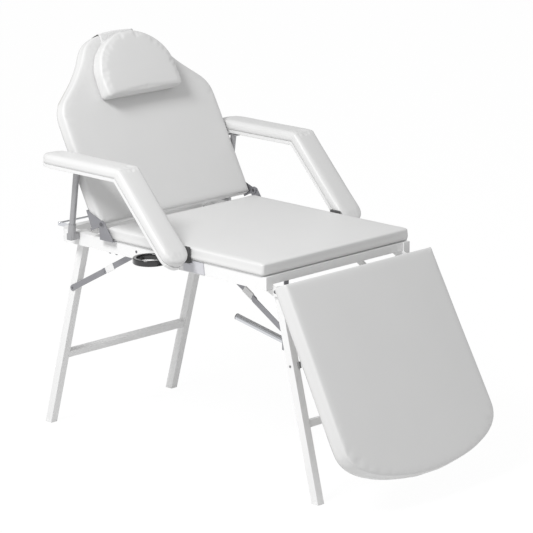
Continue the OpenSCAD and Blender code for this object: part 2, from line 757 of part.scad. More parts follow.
module sleeve(x, u, j) {
    d = (u - j) / norm(u - j);
    a = j + d * link_w * 0.65;
    b = a + d * sleeve_l;
    difference() {
        x_bar(x - gap / 2 - sleeve_t, link_t + gap + 2 * sleeve_t, a, b, link_w + gap + 2 * sleeve_t);
        x_bar(x - gap / 2, link_t + gap, a - d * cut, b + d * cut, link_w + gap);
    }
}

module rear_sleeve(s) {
    color("whitesmoke") place() side(s) sleeve(rear_up_x, rear_u, rear_j);
}

module front_sleeve(s) {
    color("whitesmoke") place() side(s) sleeve(front_up_x, front_u, front_j);
}

// Arm rests

arm_r = arm_w / 2;
tab_x = xo + seat_over + tab_gap;
arm_mid = tab_x + tab_w + gap + arm_r;
arm_rear_y = back_py + arm_rear_l;
arm_bend_y = arm_rear_y - arm_flat_l;
shelf_z = rail_top - 0.2 * rail_h;
arm_drop = arm_z - shelf_z - 0.1228 * rail_h;
arm_slope = [-cos(arm_fall), -sin(arm_fall)];
arm_front_l = arm_drop / sin(arm_fall) + arm_end_l;

// Stations along the arm: side-view point, normal, half width share
arm_steps = [[0, 0.16], [0.03, 0.42], [0.09, 0.66], [0.2, 0.86], [0.34, 0.97], [0.5, 1]];
arm_k = tan(arm_fall / 2);
function arm_at(t) = t < 0 ? [[arm_bend_y - t, arm_z], [0, 1]]
    : t > 0 ? [[arm_bend_y, arm_z] + arm_slope * t, [-sin(arm_fall), cos(arm_fall)]]
    : [[arm_bend_y, arm_z], [-arm_k, 1]];
arm_ts = concat([for (s = arm_steps) [-(arm_rear_y - arm_bend_y) + s[0] * arm_w, s[1]]],
    [[-(arm_rear_y - arm_bend_y) / 2, 1], [-arm_w * 0.5, 1], [0, 1], [arm_w * 0.5, 1], [arm_front_l / 2, 1]],
    [for (i = [len(arm_steps) - 1:-1:0]) [arm_front_l - arm_steps[i][0] * arm_w, arm_steps[i][1]]]);

// Cross sections as shares of half width and height
arm_pad_shares = [[0.93, 0], [1, 0.2], [1, 0.62], [0.9, 0.86], [0.7, 0.95], [0.35, 0.99], [0, 1],
    [-0.35, 0.99], [-0.7, 0.95], [-0.9, 0.86], [-1, 0.62], [-1, 0.2], [-0.93, 0]];
arm_base_shares = [[0.8, -1], [0.92, -0.8], [0.94, 0], [-0.94, 0], [-0.92, -0.8], [-0.8, -1]];

module sweep(shares, h) {
    n = len(shares);
    m = len(arm_ts);
    pts = [for (t = arm_ts) let (a = arm_at(t[0])) for (s = shares)
        [arm_mid + arm_r * t[1] * s[0], a[0][0] + a[1][0] * h * s[1], a[0][1] + a[1][1] * h * s[1]]];
    sides = [for (k = [0:m - 2]) for (i = [0:n - 1]) let (j = (i + 1) % n)
        each [[k * n + i, k * n + j, k * n + n + j], [k * n + i, k * n + n + j, k * n + n + i]]];
    caps = [for (i = [1:n - 2]) each [[0, i + 1, i], [(m - 1) * n, (m - 1) * n + i, (m - 1) * n + i + 1]]];
    polyhedron(pts, concat(sides, caps), convexity = 6);
}

module arm_pad(s) {
    color("whitesmoke") place() side(s) sweep(arm_pad_shares, arm_h);
}

module arm_base(s) {
    color("white") place() side(s) sweep(arm_base_shares, arm_base_h);
}

// Posts lean forward; the arm lifts off along them
tie_t = link_t * 1.5;
post_lo = [xo + post_out_w, back_py + post_rear_l, rail_top];
post_hi = [post_lo[0], post_lo[1] - post_reach_l, arm_z - arm_base_h - tie_t];
post_dir = (post_hi - post_lo) / norm(post_hi - post_lo);
post_pol = acos(post_dir[2]);
socket_t = 0.95 * link_t;
socket_sink = 0.8 * post_d;
socket_block = 0.75 * rail_w;
socket_lo = post_lo - post_dir * socket_sink;

module along_post(p) {
    translate(p) rotate([post_pol, 0, 0]) children();
}

// Post with the flat tie that carries the arm rest's base
module arm_post(s) {
    l = norm(post_hi - socket_lo);
    color("gainsboro") place() side(s) {
        intersection() {
            along_post(socket_lo + post_dir * (2 * socket_t + gap)) cylinder(h = l + post_d, d = post_d);
            translate([0, 0, post_hi[2] - far]) cube([far, far, far]);
        }
        translate([post_hi[0] - post_d / 2, post_hi[1] - post_d, post_hi[2]])
            cube([arm_mid + arm_r / 2 - post_hi[0] + post_d / 2, 2 * post_d, tie_t]);
    }
}

module post_sockets() {
    color("white") place() for (s = [-1, 1]) side(s) {
        difference() {
            union() {
                along_post(socket_lo)
                    cylinder(h = socket_sink + post_up_h, d = post_d + 2 * gap + 2 * socket_t);
                translate([xo, socket_lo[1] - socket_block / 2, rail_top - socket_block])
                    cube([post_lo[0] + post_d / 2 - xo, socket_block, socket_block]);
            }
            along_post(socket_lo + post_dir * 2 * socket_t)
                cylinder(h = 2 * socket_sink + post_up_h, d = post_d + 2 * gap);
        }
    }
}

// Tab on the inner side of an arm that drops over the peg of its bracket
tab_y = arm_bend_y - arm_drop / tan(arm_fall);
tab_l = 1.4 * rail_w;
tab_h = 1.2 * rail_h;
peg_d = 0.6 * bolt_d;
peg_at = [tab_x + tab_w / 2, tab_y + tab_l / 2, shelf_z];

module arm_tab(s) {
    color("dimgray") place() side(s) difference() {
        translate([tab_x, tab_y, shelf_z + gap]) cube([tab_w, tab_l, tab_h]);
        along_post(peg_at - post_dir * 10 * cut) cylinder(h = 2 * rail_h, d = peg_d + 2 * gap);
    }
}

module arm_brackets() {
    color("lightgray") place() for (s = [-1, 1]) side(s) {
        x_plate(xo, link_t * 1.5, [[tab_y - 1.9 * rail_w, rail_z + 3 * cut], [tab_y + tab_l, rail_z + 3 * cut],
            [tab_y + tab_l, shelf_z], [tab_y, shelf_z], [tab_y, rail_top - 2 * cut],
            [tab_y - 1.7 * rail_w, rail_top - 2 * cut]]);
        translate([xo, tab_y, shelf_z - 3 * cut]) cube([tab_x + tab_w - xo, tab_l, 3 * cut]);
        along_post(peg_at - post_dir * 2 * cut) cylinder(h = 18 * cut, d = peg_d);
    }
}

// Ring and roll

ring_x = xo + ring_d / 2 + link_t + gap;
ring_y = tab_y + tab_l + ring_d / 2 + ring_gap;
ring_z = rail_z + rail_h * 0.45;
module ring_holder() {
    color("black") place() translate([-ring_x, ring_y, ring_z]) rotate_extrude($fn = 64) {
        translate([ring_in_d / 2, ring_h * 0.2]) square([(ring_d - ring_in_d) / 2, ring_h * 0.6]);
        translate([ring_in_d / 2 + ring_h * 0.2, 0])
            square([(ring_d - ring_in_d) / 2 - ring_h * 0.4, ring_h]);
        for (x = [ring_in_d / 2 + ring_h * 0.2, ring_d / 2 - ring_h * 0.2]) for (z = [0.2, 0.8])
            translate([x, ring_h * z]) circle(r = ring_h * 0.2, $fn = 24);
    }
}

module ring_bracket() {
    color("black") place() {
        translate([-xo - link_t, ring_y - ring_h, ring_z - link_t])
            cube([link_t, 2 * ring_h, ring_h + 2 * link_t]);
        translate([-xo - link_t * 5, ring_y - ring_h / 2, ring_z - link_t])
            cube([link_t * 4, ring_h, link_t]);
    }
}

roll_y = frame_l + 1.76 * rail_w;
roll_z = rail_top - 0.4 * roll_d;
roll_x = 0.426 * frame_w;
module roll_rod() {
    color("gainsboro") place() {
        x_rod(-roll_x, 2 * roll_x, [roll_y, roll_z], roll_d);
        for (s = [-1, 1]) side(s) difference() {
            translate([roll_x - 2 * link_t, frame_l, roll_z - 1.4 * roll_d])
                cube([link_t, roll_y - frame_l + roll_d, 1.9 * roll_d]);
            x_rod(roll_x - 3 * link_t, 3 * link_t, [roll_y, roll_z], roll_d + 2 * run);
        }
    }
}

frame_tube();
rail_plugs();
front_bar();
front_brackets();
frame_bolts();
frame_spacers();
seat_spacers();
seat_board();
seat_pad();
back_hinge_feet();
back_hinge_bolts();
back_hinge_arms();
back_catches();
back_board();
back_pad();
pillow();
pillow_strap();
rest_board();
rest_pad();
rest_arms();
prop_bracket();
prop_tube();
prop_plug();
prop_guide();
front_leg(-1);  // front_leg_left
front_leg(1);  // front_leg_right
front_feet();
cross_bar(front_p, front_dir, front_lean, front_cross_z);  // front_cross_bar
front_leg_bolts();
leg_buffers();
rear_leg(-1);  // rear_leg_left
rear_leg(1);  // rear_leg_right
rear_feet();
cross_bar(rear_p, rear_dir, rear_lean, rear_cross_z);  // rear_cross_bar
rear_leg_bolts();
front_upper(-1);  // front_upper_left
front_upper(1);  // front_upper_right
front_lower(-1);  // front_lower_left
front_lower(1);  // front_lower_right
rear_upper(-1);  // rear_upper_left
rear_upper(1);  // rear_upper_right
rear_lower(-1);  // rear_lower_left
rear_lower(1);  // rear_lower_right
front_sleeve(-1);  // front_sleeve_left
front_sleeve(1);  // front_sleeve_right
rear_sleeve(-1);  // rear_sleeve_left
rear_sleeve(1);  // rear_sleeve_right
arm_pad(-1);  // arm_pad_left
arm_pad(1);  // arm_pad_right
arm_base(-1);  // arm_base_left
arm_base(1);  // arm_base_right
arm_post(-1);  // arm_post_left
arm_post(1);  // arm_post_right
arm_tab(-1);  // arm_tab_left
arm_tab(1);  // arm_tab_right
post_sockets();
arm_brackets();
ring_holder();
ring_bracket();
roll_rod();
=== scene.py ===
import math

import bmesh
import bpy
import numpy as np
from mathutils import Matrix, Vector


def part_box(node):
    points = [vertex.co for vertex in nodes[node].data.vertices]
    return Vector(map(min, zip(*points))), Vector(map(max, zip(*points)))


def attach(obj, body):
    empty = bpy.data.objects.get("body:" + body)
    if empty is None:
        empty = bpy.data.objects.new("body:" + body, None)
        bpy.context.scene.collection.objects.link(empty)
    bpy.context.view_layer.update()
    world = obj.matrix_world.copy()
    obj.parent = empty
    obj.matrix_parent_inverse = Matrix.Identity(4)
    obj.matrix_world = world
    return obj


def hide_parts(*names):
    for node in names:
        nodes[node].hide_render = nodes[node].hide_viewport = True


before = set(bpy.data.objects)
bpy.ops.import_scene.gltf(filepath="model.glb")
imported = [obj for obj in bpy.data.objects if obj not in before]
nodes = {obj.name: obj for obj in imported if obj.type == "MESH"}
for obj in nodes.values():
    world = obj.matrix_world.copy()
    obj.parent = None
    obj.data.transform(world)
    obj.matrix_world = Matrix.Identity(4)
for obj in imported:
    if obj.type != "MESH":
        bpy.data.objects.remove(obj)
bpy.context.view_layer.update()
scene = bpy.context.scene
print("frame loaded:", len(nodes), "nodes")

midY = 295.27  # middle of the object along the rails, in the drawing's millimetres

view = {"place": (-5775.0, -5337.6, 2587.4), "azimuth": -45.77, "elevation": 14.21, "lens": 197.2}


def fromDrawing(x, y, z):
    return Vector((x / 1000, (y - midY) / 1000, z / 1000))


camera = bpy.data.objects.new("camera", bpy.data.cameras.new("camera"))
scene.collection.objects.link(camera)
camera.data.sensor_width = 36
camera.data.lens = view["lens"]
camera.location = fromDrawing(*view["place"])
az, el = math.radians(view["azimuth"]), math.radians(view["elevation"])
lookFrom = Vector((math.sin(az) * math.cos(el), -math.cos(az) * math.cos(el), math.sin(el)))
camera.rotation_euler = (-lookFrom).to_track_quat("-Z", "Y").to_euler()
scene.camera = camera


def nodeGroup(name, inputs, outputs):
    tree = bpy.data.node_groups.new(name, "ShaderNodeTree")
    for label, start in inputs:
        socket = tree.interface.new_socket(label, in_out="INPUT", socket_type="NodeSocketFloat")
        socket.default_value = start
    for label in outputs:
        tree.interface.new_socket(label, in_out="OUTPUT", socket_type="NodeSocketFloat")
    return tree, tree.nodes.new("NodeGroupInput"), tree.nodes.new("NodeGroupOutput")


def vinylGrain():
    # pebbled skin with shallow creases, and a slow change of tone
    tree, given, out = nodeGroup("vinylGrain", [("Pebbles", 900.0), ("Creases", 40.0)], ["Height", "Tone"])
    place = tree.nodes.new("ShaderNodeTexCoord")
    pebbles = tree.nodes.new("ShaderNodeTexVoronoi")
    creases = tree.nodes.new("ShaderNodeTexNoise")
    creases.inputs["Detail"].default_value = 5
    tone = tree.nodes.new("ShaderNodeTexNoise")
    tone.inputs["Scale"].default_value = 6
    mix = tree.nodes.new("ShaderNodeMath")
    mix.operation = "MULTIPLY_ADD"
    mix.inputs[1].default_value = 0.6
    for n in (pebbles, creases, tone):
        tree.links.new(place.outputs["Object"], n.inputs["Vector"])
    tree.links.new(given.outputs["Pebbles"], pebbles.inputs["Scale"])
    tree.links.new(given.outputs["Creases"], creases.inputs["Scale"])
    tree.links.new(pebbles.outputs["Distance"], mix.inputs[0])
    tree.links.new(creases.outputs["Fac"], mix.inputs[2])
    tree.links.new(mix.outputs[0], out.inputs["Height"])
    tree.links.new(tone.outputs["Fac"], out.inputs["Tone"])
    return tree


def paintSkin():
    # orange peel of a powder coat and its slow unevenness
    tree, given, out = nodeGroup("paintSkin", [("Peel", 350.0)], ["Height", "Tone"])
    place = tree.nodes.new("ShaderNodeTexCoord")
    peel = tree.nodes.new("ShaderNodeTexNoise")
    tone = tree.nodes.new("ShaderNodeTexNoise")
    tone.inputs["Scale"].default_value = 9
    for n in (peel, tone):
        tree.links.new(place.outputs["Object"], n.inputs["Vector"])
    tree.links.new(given.outputs["Peel"], peel.inputs["Scale"])
    tree.links.new(peel.outputs["Fac"], out.inputs["Height"])
    tree.links.new(tone.outputs["Fac"], out.inputs["Tone"])
    return tree


def brushMarks():
    # long fine marks across the table, as on rolled or drawn steel
    tree, given, out = nodeGroup("brushMarks", [("Marks", 260.0)], ["Height", "Tone"])
    place = tree.nodes.new("ShaderNodeTexCoord")
    stretch = tree.nodes.new("ShaderNodeMapping")
    stretch.inputs["Scale"].default_value = (1, 0.06, 0.06)
    marks = tree.nodes.new("ShaderNodeTexNoise")
    marks.inputs["Detail"].default_value = 4
    tone = tree.nodes.new("ShaderNodeTexNoise")
    tone.inputs["Scale"].default_value = 25
    tree.links.new(place.outputs["Object"], stretch.inputs["Vector"])
    tree.links.new(stretch.outputs["Vector"], marks.inputs["Vector"])
    tree.links.new(place.outputs["Object"], tone.inputs["Vector"])
    tree.links.new(given.outputs["Marks"], marks.inputs["Scale"])
    tree.links.new(marks.outputs["Fac"], out.inputs["Height"])
    tree.links.new(tone.outputs["Fac"], out.inputs["Tone"])
    return tree


def elasticWeave():
    # ribs that run along the strap, crossed by fine threads
    tree, given, out = nodeGroup("elasticWeave", [("Ribs", 330.0)], ["Height", "Tone"])
    place = tree.nodes.new("ShaderNodeTexCoord")
    ribs = tree.nodes.new("ShaderNodeTexWave")
    ribs.bands_direction = "X"
    threads = tree.nodes.new("ShaderNodeTexNoise")
    threads.inputs["Scale"].default_value = 900
    add = tree.nodes.new("ShaderNodeMath")
    add.operation = "MULTIPLY_ADD"
    add.inputs[1].default_value = 0.7
    tree.links.new(place.outputs["Object"], ribs.inputs["Vector"])
    tree.links.new(place.outputs["Object"], threads.inputs["Vector"])
    tree.links.new(given.outputs["Ribs"], ribs.inputs["Scale"])
    tree.links.new(ribs.outputs["Fac"], add.inputs[0])
    tree.links.new(threads.outputs["Fac"], add.inputs[2])
    tree.links.new(add.outputs[0], out.inputs["Height"])
    tree.links.new(ribs.outputs["Fac"], out.inputs["Tone"])
    return tree


def boardFibres():
    # pressed fibres of the boards' pale facing, longer along the table
    tree, given, out = nodeGroup("boardFibres", [("Fibres", 220.0)], ["Height", "Tone"])
    place = tree.nodes.new("ShaderNodeTexCoord")
    stretch = tree.nodes.new("ShaderNodeMapping")
    stretch.inputs["Scale"].default_value = (1, 0.25, 0.25)
    fibres = tree.nodes.new("ShaderNodeTexNoise")
    fibres.inputs["Detail"].default_value = 6
    tone = tree.nodes.new("ShaderNodeTexNoise")
    tone.inputs["Scale"].default_value = 11
    tree.links.new(place.outputs["Object"], stretch.inputs["Vector"])
    tree.links.new(stretch.outputs["Vector"], fibres.inputs["Vector"])
    tree.links.new(place.outputs["Object"], tone.inputs["Vector"])
    tree.links.new(given.outputs["Fibres"], fibres.inputs["Scale"])
    tree.links.new(fibres.outputs["Fac"], out.inputs["Height"])
    tree.links.new(tone.outputs["Fac"], out.inputs["Tone"])
    return tree


surfaces = {"vinylGrain": vinylGrain(), "paintSkin": paintSkin(), "brushMarks": brushMarks(),
            "elasticWeave": elasticWeave(), "boardFibres": boardFibres()}


def makeMaterial(name, surface, light, dark, roughness, bump, values=None, metallic=0.0, coat=0.0,
                 coatRoughness=0.1, specular=0.5, roughRange=0.08):
    mat = bpy.data.materials.new(name)
    mat.use_nodes = True
    tree = mat.node_tree
    skin = tree.nodes["Principled BSDF"]
    skin.inputs["Metallic"].default_value = metallic
    skin.inputs["Coat Weight"].default_value = coat
    skin.inputs["Coat Roughness"].default_value = coatRoughness
    skin.inputs["Specular IOR Level"].default_value = specular
    grain = tree.nodes.new("ShaderNodeGroup")
    grain.node_tree = surfaces[surface]
    for label, value in (values or {}).items():
        grain.inputs[label].default_value = value
    colour = tree.nodes.new("ShaderNodeMix")
    colour.data_type = "RGBA"
    colour.inputs["A"].default_value = (*dark, 1)
    colour.inputs["B"].default_value = (*light, 1)
    rough = tree.nodes.new("ShaderNodeMapRange")
    rough.inputs["To Min"].default_value = roughness - roughRange / 2
    rough.inputs["To Max"].default_value = roughness + roughRange / 2
    relief = tree.nodes.new("ShaderNodeBump")
    relief.inputs["Strength"].default_value = 1
    relief.inputs["Distance"].default_value = bump
    tree.links.new(grain.outputs["Tone"], colour.inputs["Factor"])
    tree.links.new(colour.outputs["Result"], skin.inputs["Base Color"])
    tree.links.new(grain.outputs["Tone"], rough.inputs["Value"])
    tree.links.new(rough.outputs["Result"], skin.inputs["Roughness"])
    tree.links.new(grain.outputs["Height"], relief.inputs["Height"])
    tree.links.new(relief.outputs["Normal"], skin.inputs["Normal"])
    return mat


whiteVinyl = makeMaterial("whiteVinyl", "vinylGrain", (.71, .71, .708), (.685, .685, .683), .42, .00006,
                          {"Pebbles": 700, "Creases": 60}, coat=.08, coatRoughness=.3)
whitePaint = makeMaterial("whitePaint", "paintSkin", (.83, .83, .83), (.80, .80, .80), .32, .00003, coat=.2)
greyPaint = makeMaterial("greyPaint", "paintSkin", (.60, .60, .63), (.56, .56, .59), .4, .00003)
platedSteel = makeMaterial("platedSteel", "brushMarks", (.36, .36, .38), (.28, .28, .30), .42, .00004,
                           {"Marks": 300}, metallic=.75)
boltSteel = makeMaterial("boltSteel", "brushMarks", (.20, .20, .21), (.13, .13, .14), .4, .00004,
                         {"Marks": 500}, metallic=.8)
polishedChrome = makeMaterial("polishedChrome", "brushMarks", (.70, .71, .74), (.66, .67, .70), .14, .00001,
                              {"Marks": 120}, metallic=1, roughRange=.05)
blackGloss = makeMaterial("blackGloss", "paintSkin", (.012, .012, .013), (.008, .008, .009), .1, .00001,
                          {"Peel": 60}, coat=.6, coatRoughness=.05, roughRange=.04)
blackRubber = makeMaterial("blackRubber", "vinylGrain", (.03, .03, .03), (.02, .02, .02), .7, .00006)
whitePlastic = makeMaterial("whitePlastic", "paintSkin", (.80, .80, .80), (.77, .77, .77), .45, .00004,
                            {"Peel": 700})
# near-black plastic for the arm tabs: painted shade, dark so that the tabs stand for the shaded gap between
# each arm's front end and the seat
gapShadeTabPlastic = makeMaterial("gapShadeTabPlastic", "paintSkin", (.10, .10, .10), (.08, .08, .08), .55, .00005,
                           {"Peel": 600})
satinSteel = makeMaterial("satinSteel", "brushMarks", (.42, .42, .43), (.36, .36, .37), .38, .00001,
                          {"Marks": 900}, metallic=.6)
softGrey = makeMaterial("softGrey", "vinylGrain", (.26, .26, .26), (.22, .22, .22), .6, .00006)
elasticCloth = makeMaterial("elasticCloth", "elasticWeave", (.80, .80, .80), (.70, .70, .70), .8, .0002)
facedBoard = makeMaterial("facedBoard", "boardFibres", (.62, .615, .60), (.56, .555, .54), .6, .00005)
brightWire = makeMaterial("brightWire", "brushMarks", (.55, .55, .57), (.48, .48, .50), .3, .00001,
                          {"Marks": 900}, metallic=.9)
threadWhite = makeMaterial("threadWhite", "elasticWeave", (.74, .74, .74), (.62, .62, .62), .8, .0001,
                           {"Ribs": 2500})

finishOf = {
    whitePaint: ["frame_tube", "front_bar", "front_brackets", "rest_arms", "front_leg_left",
                 "front_leg_right", "front_cross_bar", "rear_leg_left", "rear_leg_right",
                 "rear_cross_bar"],
    whitePlastic: ["rail_plugs", "frame_spacers", "front_feet", "rear_feet", "front_sleeve_left",
                   "front_sleeve_right", "rear_sleeve_left", "rear_sleeve_right", "arm_base_left",
                   "arm_base_right"],
    platedSteel: ["back_hinge_feet", "back_hinge_arms", "back_catches", "prop_bracket", "prop_guide",
                  "front_upper_left", "front_upper_right", "front_lower_left", "front_lower_right",
                  "rear_upper_left", "rear_upper_right", "rear_lower_left", "rear_lower_right"],
    boltSteel: ["frame_bolts", "back_hinge_bolts", "front_leg_bolts", "rear_leg_bolts"],
    polishedChrome: ["prop_tube", "roll_rod"],
    satinSteel: ["arm_post_left", "arm_post_right", "post_sockets"],
    blackGloss: ["ring_holder", "ring_bracket"],
    blackRubber: ["seat_spacers", "prop_plug"],
    softGrey: ["leg_buffers"],
    # the arm tabs carry the painted shade of the gap between arm and seat
    gapShadeTabPlastic: ["arm_tab_left", "arm_tab_right"],
    greyPaint: ["arm_brackets"],
    facedBoard: ["seat_board", "back_board", "rest_board"],
    elasticCloth: ["pillow_strap"],
    whiteVinyl: ["seat_pad", "back_pad", "rest_pad", "pillow", "arm_pad_left", "arm_pad_right"],
}
for finish, names in finishOf.items():
    for name in (n for n in names if n in nodes):
        mesh = nodes[name].data
        mesh.materials.clear()
        mesh.materials.append(finish)
print("materials made:", len(bpy.data.materials))


def newPiece(name, verts, faces, material, smooth=True):
    mesh = bpy.data.meshes.new(name)
    mesh.from_pydata([tuple(v) for v in verts], [], faces)
    mesh.materials.append(material)
    piece = bpy.data.objects.new(name, mesh)
    scene.collection.objects.link(piece)
    if smooth:
        mesh.shade_smooth()
    return piece


def useOnly(piece):
    bpy.ops.object.select_all(action="DESELECT")
    piece.select_set(True)
    bpy.context.view_layer.objects.active = piece


def stackedShell(name, outline, rings, material):
    # rings of one outline, each (inset, height), closed at both ends by a middle point
    pts = np.array(outline)
    n, m = len(pts), len(rings)
    half = (pts.max(0) - pts.min(0)) / 2
    centre = (pts.max(0) + pts.min(0)) / 2
    verts = []
    for inset, height in rings:
        shrunk = centre + (pts - centre) * (1 - inset / half)
        verts += [(x, y, height) for x, y in shrunk]
    verts += [(*centre, rings[0][1]), (*centre, rings[-1][1])]
    faces = [(k * n + i, k * n + (i + 1) % n, (k + 1) * n + (i + 1) % n, (k + 1) * n + i)
             for k in range(m - 1) for i in range(n)]
    faces += [(n * m, (i + 1) % n, i) for i in range(n)]
    faces += [(n * m + 1, (m - 1) * n + i, (m - 1) * n + (i + 1) % n) for i in range(n)]
    return newPiece(name, verts, faces, material)


def puffUp(piece, pinned, pressure, voxel, cap, frames=16):
    # the cover swells over its filling by no more than cap, and the points that pinned() names stay
    useOnly(piece)
    piece.data.remesh_voxel_size = voxel
    bpy.ops.object.voxel_remesh()
    piece.data.shade_smooth()
    start = np.array([v.co for v in piece.data.vertices])
    group = piece.vertex_groups.new(name="held")
    held = [i for i, v in enumerate(start) if pinned(v)]
    group.add(held, 1.0, "ADD")
    cloth = piece.modifiers.new("cover", "CLOTH")
    cloth.settings.vertex_group_mass = "held"
    cloth.settings.use_pressure = True
    cloth.settings.uniform_pressure_force = pressure
    cloth.settings.effector_weights.gravity = 0
    cloth.settings.quality = 4
    cloth.settings.tension_stiffness = 25
    cloth.settings.compression_stiffness = 25
    cloth.settings.bending_stiffness = 8
    cloth.point_cache.frame_start = 1
    cloth.point_cache.frame_end = frames
    for f in range(1, frames + 1):
        scene.frame_set(f)
    graph = bpy.context.evaluated_depsgraph_get()
    result = piece.evaluated_get(graph).to_mesh()
    moved = np.array([v.co for v in result.vertices])
    piece.evaluated_get(graph).to_mesh_clear()
    piece.modifiers.remove(cloth)
    piece.vertex_groups.clear()
    scene.frame_set(1)
    shift = moved - start
    size = np.linalg.norm(shift, axis=1, keepdims=True)
    shift *= np.minimum(1, cap / np.maximum(size, 1e-9))
    piece.data.vertices.foreach_set("co", (start + shift).astype(np.float32).ravel())
    piece.data.update()
    print("puffed", piece.name, len(start), "points, most", round(float(size.max()) * 1000, 1), "mm")
    finer = piece.modifiers.new("finer", "SUBSURF")
    finer.levels = finer.render_levels = 1
    useOnly(piece)
    bpy.ops.object.modifier_apply(modifier="finer")
    piece.data.shade_smooth()
    return piece


def settle(piece, matrix):
    # its place goes into its mesh, and the object stays at the origin
    piece.data.transform(matrix)
    piece.matrix_world = Matrix.Identity(4)
    piece.data.update()
    return piece


def roundedBlock(width, length, corner, steps=8):
    pts = []
    for sx, sy, turn in ((1, -1, -90), (1, 1, 0), (-1, 1, 90), (-1, -1, 180)):
        for k in range(steps + 1):
            a = math.radians(turn + 90 * k / steps)
            pts.append((sx * (width / 2 - corner) + corner * math.cos(a),
                        length / 2 + sy * (length / 2 - corner) + corner * math.sin(a)))
    return pts


def mirroredOutline(shares, length, width, finer=4):
    # right side from the table of (share of length, share of half width), joined smoothly, then mirrored
    s = np.array([a for a, b in shares]) * length
    w = np.array([b for a, b in shares]) * width / 2
    t = np.concatenate([[0], np.cumsum(np.hypot(np.diff(s), np.diff(w)))])
    steps = [np.linspace(a, b, finer, endpoint=False) for a, b in zip(t[:-1], t[1:])]
    fine = np.unique(np.concatenate(steps + [[t[-1]]]))
    sf, wf = np.interp(fine, t, s), np.interp(fine, t, w)
    for _ in range(finer):
        sf[1:-1] = (sf[:-2] + 2 * sf[1:-1] + sf[2:]) / 4
        wf[1:-1] = (wf[:-2] + 2 * wf[1:-1] + wf[2:]) / 4
    right = list(zip(wf, sf))
    return right + [(-x, y) for x, y in reversed(right)]


def inMetres(pts):
    return [(x / 1000, y / 1000) for x, y in pts]


def hingePlace(hinge, tilt):
    return Matrix.Translation(fromDrawing(0, *hinge)) @ Matrix.Rotation(math.radians(tilt), 4, "X")


def padded(name, outline, sizes, place):
    # side drawn in at the board, straight, then a round shoulder and a low crown
    height, shoulder, crown = (sizes[k] / 1000 for k in ("height", "shoulder", "crown"))
    pts = np.array(outline)
    reach = (pts.max(0) - pts.min(0)).min() / 2
    drawn = sizes["drawn"] / 1000
    rings = [(drawn, 0), (drawn * .3, height * .1), (0, height * .25), (0, height - shoulder)]
    for k in range(1, 7):
        a = math.radians(15 * k)
        rings.append((shoulder * (1 - math.cos(a)), height - shoulder + shoulder * math.sin(a)))
    rings += [(shoulder + (reach - shoulder) * part, height + crown * rise)
              for part, rise in ((.12, .35), (.35, .75), (.7, 1))]
    piece = stackedShell(name, outline, rings, whiteVinyl)
    puffUp(piece, lambda v: v[2] < height * .3, sizes["pressure"], sizes["voxel"] / 1000, sizes["cap"] / 1000)
    return settle(piece, place)


def declarePad(piece, body, node):
    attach(piece, body)
    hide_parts(node)


seatPad = {"width": 598, "length": 622.4, "height": 32.6, "corner": 10, "shoulder": 5.5, "crown": 1,
           "drawn": 2, "start": 7.2, "under": 621.4, "cap": 1.4, "pressure": 4, "voxel": 5, "fill": .9}
seatOutline = inMetres(roundedBlock(seatPad["width"], seatPad["length"], seatPad["corner"]))
seatPlace = Matrix.Translation(fromDrawing(0, seatPad["start"], seatPad["under"]))
seatCushion = padded("seatCushion", seatOutline, seatPad, seatPlace)
declarePad(seatCushion, "frame", "seat_pad")

backPad = {"width": 607, "length": 567.2, "height": 33.2, "shoulder": 7, "crown": 1.5, "drawn": 2,
           "hinge": (638, 664), "tilt": 62, "start": -9.5, "under": -41.8, "cap": 1.4, "pressure": 4,
           "voxel": 5, "fill": .9}
backShares = [(.0175, 1), (.2, 1), (.4, 1), (.594, 1), (.633, .977), (.673, .934), (.71, .852),
              (.747, .764), (.786, .68), (.826, .61), (.868, .54), (.91, .487), (.952, .42),
              (.976, .345), (.993, .235), (1, .1)]
backOutline = inMetres(mirroredOutline(backShares, backPad["length"], backPad["width"]))
backHinge = hingePlace(backPad["hinge"], backPad["tilt"])
backPlace = (backHinge
             @ Matrix.Translation((0, backPad["start"] / 1000, backPad["under"] / 1000)))
backCushion = padded("backCushion", backOutline, backPad, backPlace)
declarePad(backCushion, "back", "back_pad")

restPad = {"width": 619, "length": 605, "height": 45.2, "shoulder": 6, "crown": 1.5, "drawn": 2,
           "hinge": (-8.5, 575), "tilt": 61.2, "start": 3.5, "under": 33.7, "cap": 1.4, "pressure": 4,
           "voxel": 5, "fill": .9}
restShares = [(0, .971), (.2, .976), (.4, .981), (.6, .99), (.783, 1), (.821, .987), (.856, .952),
              (.888, .887), (.916, .797), (.941, .675), (.964, .53), (.98, .354), (.993, .145)]
restOutline = inMetres(mirroredOutline(restShares, restPad["length"], restPad["width"]))
restPlace = (hingePlace(restPad["hinge"], restPad["tilt"])
             @ Matrix.Translation((0, restPad["start"] / 1000, restPad["under"] / 1000))
             @ Matrix.Rotation(math.pi, 4, "Z"))
restCushion = padded("restCushion", restOutline, restPad, restPlace)
declarePad(restCushion, "leg_rest", "rest_pad")

pillowPad = {"width": 297, "length": 190, "height": 44.6, "shoulder": 7, "crown": 1.5, "drawn": 8,
             "start": 353.3, "under": -5.8, "cap": 2.2, "pressure": 4, "voxel": 4, "fill": .8}
pillowShares = [(0, .93), (.02, .98), (.06, 1), (.25, 1), (.42, .985), (.56, .93), (.68, .84),
                (.79, .71), (.88, .55), (.95, .36), (.99, .15)]
pillowOutline = inMetres(mirroredOutline(pillowShares, pillowPad["length"], pillowPad["width"]))
pillowPlace = (backHinge
               @ Matrix.Translation((0, pillowPad["start"] / 1000, pillowPad["under"] / 1000)))
headPillow = padded("headPillow", pillowOutline, pillowPad, pillowPlace)
declarePad(headPillow, "pillow", "pillow")
print("flat cushions made")

# elastic band of the pillow, stretched over the top end of the back
pillowBand = {"width": 136, "front": -6.5, "behind": -42.8, "top": 559.2, "from": 470, "to": 488, "bow": 3.6,
              "bend": 6, "thick": .9, "strips": 16}
bandCurve = (18, 36, 54, 72, 90)


